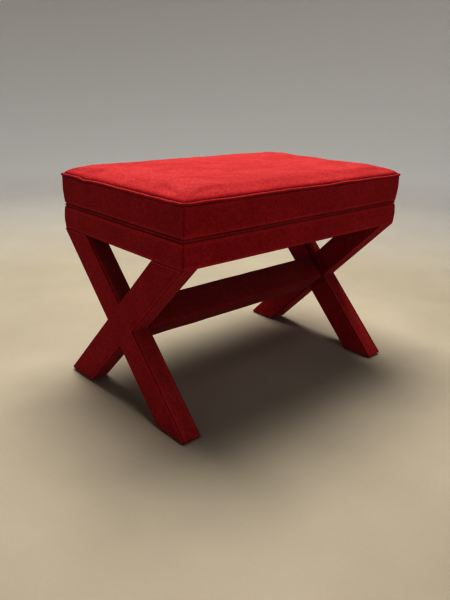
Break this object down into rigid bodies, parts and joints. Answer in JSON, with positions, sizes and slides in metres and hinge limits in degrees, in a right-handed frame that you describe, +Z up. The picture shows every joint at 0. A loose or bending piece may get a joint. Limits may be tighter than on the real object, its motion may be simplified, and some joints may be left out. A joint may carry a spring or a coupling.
{
  "type": "upholstered bench",
  "caption": "Low padded bench wrapped in wool felt: crowned box cushion and apron on two crossed-leg end frames tied by a diamond stretcher.",
  "frame": {"origin": "on the floor under the middle of the bench", "axes": "+X along the bench's length, -Y to the front, +Z up"},
  "size_m": [0.6054, 0.4, 0.442],
  "materials": {
    "felt": "matt brushed wool felt",
    "wadding": "loose polyester wadding",
    "foam": "open cell foam",
    "cord": "twisted paper-white cord",
    "plywood": "raw plywood",
    "hardwood": "raw hardwood",
    "dust_cloth": "thin non-woven cloth",
    "zinc_steel": "zinc plated",
    "glide_plastic": "matt"
  },
  "bodies": {
    "root": {"seat_top_cover": "felt", "top_welt_cover": "felt", "mid_welt": "felt", "boxing_back": "felt", "boxing_left": "felt", "boxing_front": "felt", "boxing_right": "felt", "apron_cover_back": "felt", "apron_cover_left": "felt", "apron_cover_front": "felt", "apron_cover_right": "felt", "stretcher_cover": "felt", "foot_closures": "felt", "left_x_outer_panel": "felt", "left_x_inner_panel": "felt", "left_x_strip_top": "felt", "left_x_strip_bottom": "felt", "left_x_strip_front": "felt", "left_x_strip_back": "felt", "left_x_wadding": "wadding", "left_x_bar_inner_lap": "hardwood", "left_x_bar_outer_lap": "hardwood", "right_x_outer_panel": "felt", "right_x_inner_panel": "felt", "right_x_strip_top": "felt", "right_x_strip_bottom": "felt", "right_x_strip_front": "felt", "right_x_strip_back": "felt", "right_x_wadding": "wadding", "right_x_bar_inner_lap": "hardwood", "right_x_bar_outer_lap": "hardwood", "seat_wadding": "wadding", "apron_wadding": "wadding", "stretcher_wadding": "wadding", "seat_foam": "foam", "top_welt_cord": "cord", "seat_deck": "plywood", "rail_front": "hardwood", "rail_back": "hardwood", "rail_left": "hardwood", "rail_right": "hardwood", "stretcher_core": "hardwood", "rail_dowels": "hardwood", "corner_block_front_left": "hardwood", "corner_block_front_right": "hardwood", "corner_block_back_left": "hardwood", "corner_block_back_right": "hardwood", "dust_cover": "dust_cloth", "leg_bolts": "zinc_steel", "bolt_washers": "zinc_steel", "leg_inserts": "zinc_steel", "stretcher_bolts": "zinc_steel", "barrel_nuts": "zinc_steel", "deck_screws": "zinc_steel", "corner_block_screws": "zinc_steel", "dust_cover_staples": "zinc_steel", "glide_nails": "zinc_steel", "foot_glides": "glide_plastic"}
  },
  "joints": []
}
